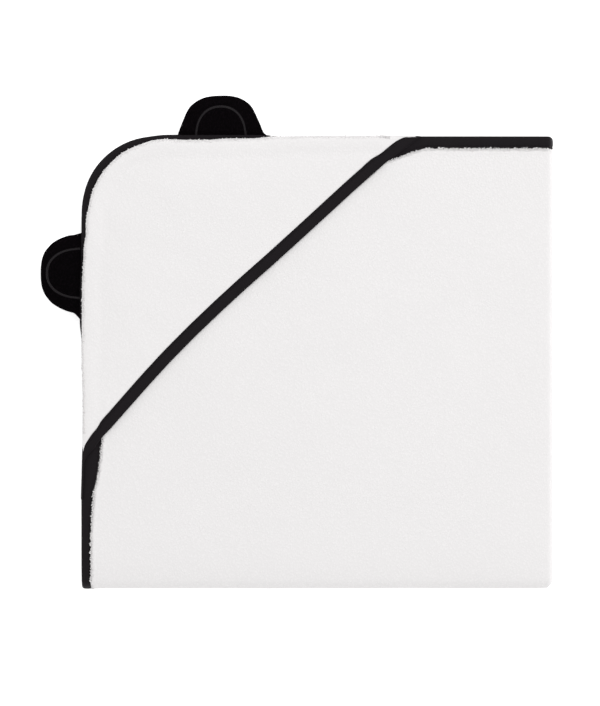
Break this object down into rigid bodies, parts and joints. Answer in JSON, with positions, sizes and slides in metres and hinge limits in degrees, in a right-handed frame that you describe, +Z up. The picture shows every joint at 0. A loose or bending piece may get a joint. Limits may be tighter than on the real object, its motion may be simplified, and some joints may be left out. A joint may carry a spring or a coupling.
{
  "type": "hooded baby towel",
  "caption": "White terry hooded baby towel with black edge binding and round black ears, folded into quarters with the hood corner on top.",
  "frame": {"origin": "centre of the folded square's underside, on the surface it lies on", "axes": "+Z up out of the stack, +Y towards the hood's straight top edge, +X towards the side fold; the hood corner is at -X +Y and the front fold at -Y"},
  "size_m": [0.4165, 0.401, 0.0186],
  "materials": {
    "terry": "white looped cotton terry",
    "hood_terry": "white looped cotton terry",
    "edge_binding": "black woven bias tape, matte with a faint sheen",
    "hood_tape": "black woven bias tape, matte with a faint sheen",
    "black_thread": "black polyester sewing thread",
    "white_thread": "white polyester sewing thread",
    "ear_velour": "black short-pile velour",
    "ear_ring": "charcoal satin stitch",
    "wadding": "white polyester wadding"
  },
  "bodies": {
    "lower_half": {"towel_lower": "terry", "edge_binding_lower": "edge_binding", "edge_stitching_lower": "black_thread"},
    "upper_half": {"towel_upper": "terry", "edge_binding_upper": "edge_binding", "edge_stitching_upper": "black_thread", "hood_panel_rear": "hood_terry", "hood_seam_stitching": "white_thread"},
    "hood_front": {"hood_panel_front": "hood_terry", "hood_binding": "hood_tape", "hood_binding_stitching": "black_thread"},
    "left_ear": {"left_ear_front": "ear_velour", "left_ear_back": "ear_velour", "left_ear_wadding": "wadding", "left_ear_ring_stitching": "ear_ring"},
    "top_ear": {"top_ear_front": "ear_velour", "top_ear_back": "ear_velour", "top_ear_wadding": "wadding", "top_ear_ring_stitching": "ear_ring"}
  },
  "joints": [
    {"name": "half_fold", "type": "hinge", "parent": "lower_half", "child": "upper_half", "pos_m": [0, -0.1837, 0.00765], "axis": [1, 0, 0], "range_deg": [0, 178]},
    {"name": "hood_open", "type": "hinge", "parent": "upper_half", "child": "hood_front", "pos_m": [-0.1149, 0.1069, 0.0186], "axis": [-0.7071, -0.7071, 0], "range_deg": [0, 35]},
    {"name": "left_ear_fold", "type": "hinge", "parent": "upper_half", "child": "left_ear", "pos_m": [-0.193, 0.0727, 0.0153], "axis": [0, 1, 0], "range_deg": [-75, 120], "stiffness_Nm_per_rad": 0.005},
    {"name": "top_ear_fold", "type": "hinge", "parent": "upper_half", "child": "top_ear", "pos_m": [-0.0778, 0.185, 0.0153], "axis": [1, 0, 0], "range_deg": [-75, 120], "stiffness_Nm_per_rad": 0.005}
  ]
}
